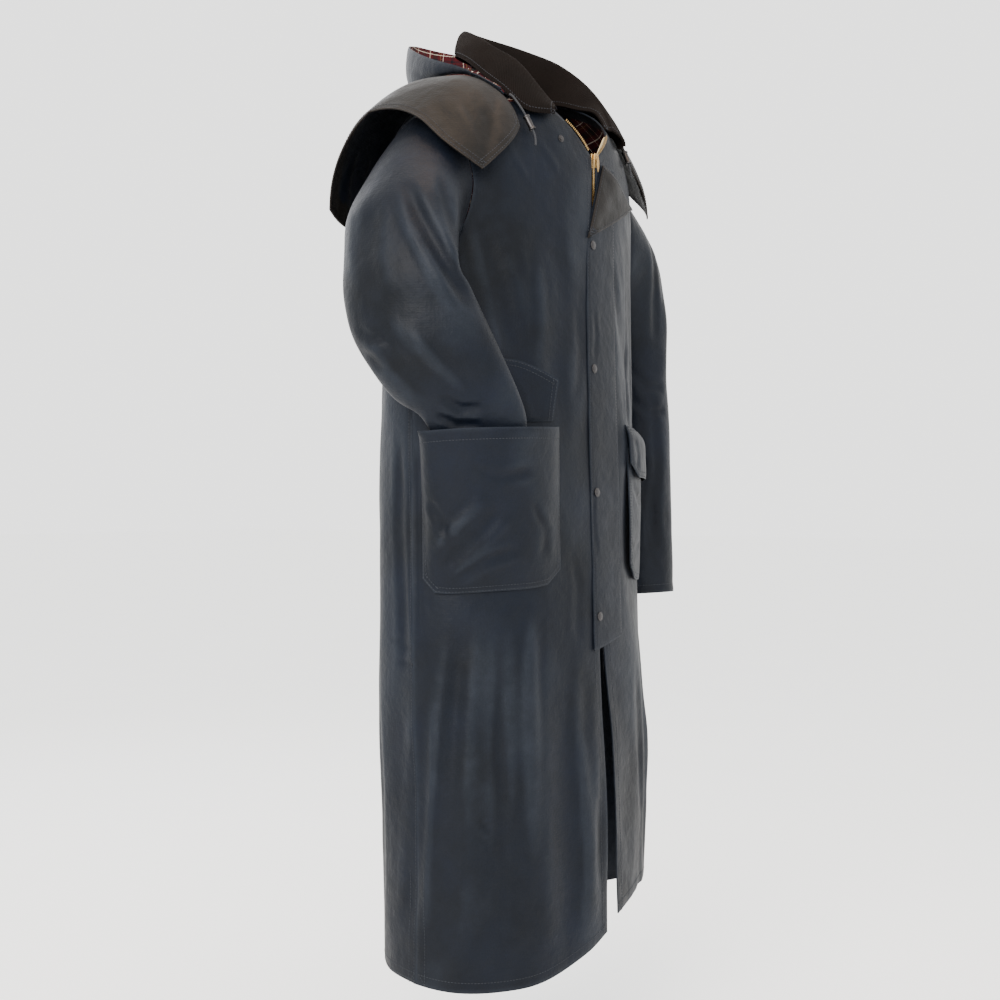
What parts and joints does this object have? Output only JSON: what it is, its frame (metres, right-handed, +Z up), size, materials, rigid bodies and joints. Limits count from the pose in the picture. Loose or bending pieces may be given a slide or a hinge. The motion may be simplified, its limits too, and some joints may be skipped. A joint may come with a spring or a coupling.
{
  "type": "duster coat",
  "caption": "Long waxed-cotton riding coat as worn, corduroy collar, hood with shoulder cape hanging behind, snapped storm flap over a brass zip, patch pockets, one sleeve tucked in a pocket",
  "frame": {"origin": "at the nape, in the middle of the neck opening's back level, where the wearer's shoulders and neck carry the coat", "axes": "+Z up, -Y to the front of the coat, +X to the wearer's left"},
  "size_m": [0.72, 0.3406, 1.3356],
  "materials": {
    "waxed_cotton": "waxed, soft sheen",
    "corduroy": "fine cord",
    "tartan_lining": "brushed cotton check",
    "zip_tape": "woven tape",
    "brass": "satin",
    "gunmetal": "dark satin",
    "cord": "braided"
  },
  "bodies": {
    "coat": {"front_right": "waxed_cotton", "front_left": "waxed_cotton", "back_right": "waxed_cotton", "back_left": "waxed_cotton", "sleeve_right": "waxed_cotton", "sleeve_left": "waxed_cotton", "collar": "corduroy", "neck_lining_front_right": "tartan_lining", "neck_lining_front_left": "tartan_lining", "neck_lining_back_right": "tartan_lining", "neck_lining_back_left": "tartan_lining", "hood": "waxed_cotton", "hood_lining": "tartan_lining", "hood_cape": "waxed_cotton", "storm_flap": "waxed_cotton", "storm_flap_lapel": "waxed_cotton", "pocket_right": "waxed_cotton", "pocket_left": "waxed_cotton", "pocket_flap_right": "waxed_cotton", "pocket_flap_left": "waxed_cotton", "zip_tape_right": "zip_tape", "zip_tape_left": "zip_tape", "zip_teeth_right": "brass", "zip_teeth_left": "brass", "zip_teeth_closed": "brass", "zip_slider": "brass", "snap_1": "gunmetal", "snap_2": "gunmetal", "snap_3": "gunmetal", "snap_4": "gunmetal", "snap_open": "gunmetal", "hood_cord_right": "cord", "hood_cord_left": "cord", "hood_cord_end_right": "cord", "hood_cord_end_left": "cord", "toggle_right": "gunmetal", "toggle_left": "gunmetal"},
    "zip_pull": {"zip_pull": "brass"}
  },
  "joints": [
    {"name": "pull_swing", "type": "hinge", "parent": "coat", "child": "zip_pull", "pos_m": [0, -0.1471, -0.1351], "axis": [-1, 0, 0], "range_deg": [0, 110]}
  ]
}
